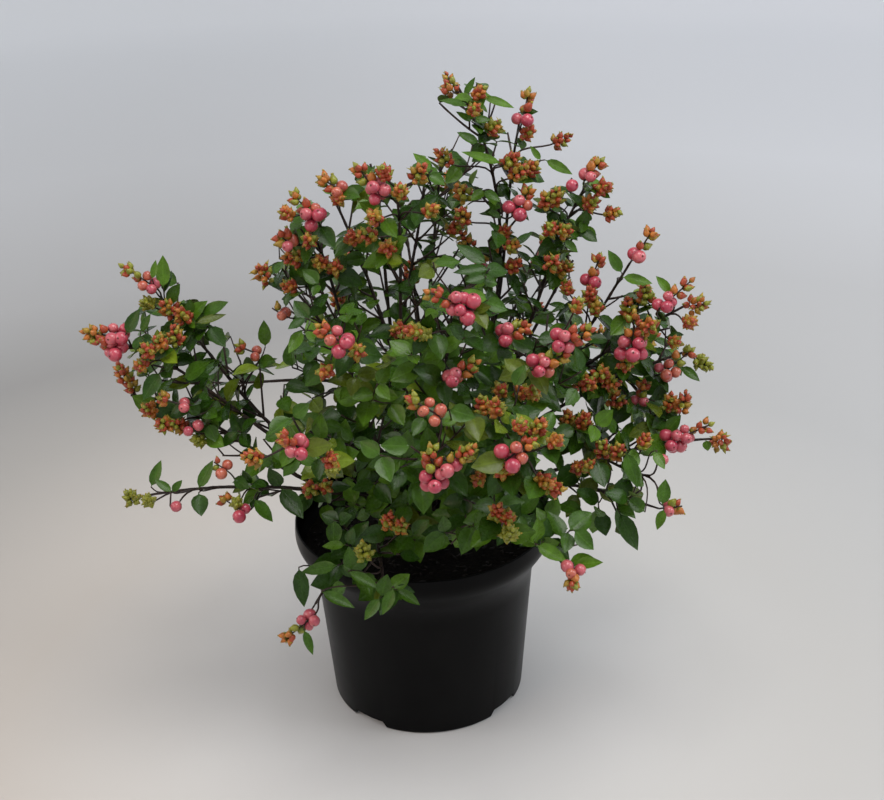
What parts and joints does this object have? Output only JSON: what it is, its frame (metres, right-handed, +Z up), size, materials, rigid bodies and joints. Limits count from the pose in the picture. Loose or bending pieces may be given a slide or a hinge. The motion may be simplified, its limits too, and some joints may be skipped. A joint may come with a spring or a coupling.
{
  "type": "potted snowberry shrub",
  "caption": "Bushy deciduous shrub with opposite oval leaves and clusters of coral-pink berries at its shoot tips, rooted in compost in a round black nursery pot.",
  "frame": {"origin": "centre of the pot's flat underside", "axes": "+Z up along the pot's axis, -Y towards the front that the picture shows, +X to the right seen from the front"},
  "size_m": [0.607, 0.5079, 0.64],
  "materials": {
    "pot_plastic": "satin black moulded plastic",
    "compost": "moist dark compost, rough",
    "bark": "thin purplish-brown bark",
    "foliage": "semi-gloss dark green leaves, glossy coral-pink berries"
  },
  "bodies": {
    "root": {"pot": "pot_plastic", "compost": "compost", "stem": "bark", "bough_top": "bark", "bough_upper_right": "bark", "bough_back": "bark", "bough_top_left": "bark", "bough_top_front": "bark", "bough_upper_left": "bark", "bough_front_left": "bark", "bough_front": "bark", "bough_front_right": "bark", "bough_right": "bark", "bough_back_right": "bark", "bough_back_left": "bark", "bough_left": "bark", "bough_left_low": "bark", "bough_low_left": "bark", "bough_low_right": "bark", "bough_right_out": "bark", "bough_right_mid": "bark", "foliage_crown_top": "foliage", "foliage_crown_right": "foliage", "foliage_upper_right": "foliage", "foliage_far_right": "foliage", "foliage_right_high": "foliage", "foliage_right_shoulder": "foliage", "foliage_right_out": "foliage", "foliage_right_low": "foliage", "foliage_right_edge": "foliage", "foliage_right_under": "foliage", "foliage_top_left": "foliage", "foliage_centre_left": "foliage", "foliage_high_left": "foliage", "foliage_high_front": "foliage", "foliage_upper_left": "foliage", "foliage_shoulder_left": "foliage", "foliage_left_high": "foliage", "foliage_left_mid": "foliage", "foliage_left_under": "foliage", "foliage_left_low": "foliage", "foliage_front_left": "foliage", "foliage_front_high_left": "foliage", "foliage_front_centre": "foliage", "foliage_front_high": "foliage", "foliage_front_right": "foliage", "foliage_front_high_right": "foliage", "foliage_left_drop": "foliage", "foliage_front_low": "foliage", "foliage_right_drop": "foliage", "foliage_front_low_right": "foliage", "foliage_back_crown": "foliage", "foliage_back": "foliage", "foliage_back_low": "foliage", "foliage_back_left": "foliage", "foliage_back_low_left": "foliage", "foliage_back_right": "foliage", "foliage_back_low_right": "foliage"}
  },
  "joints": []
}
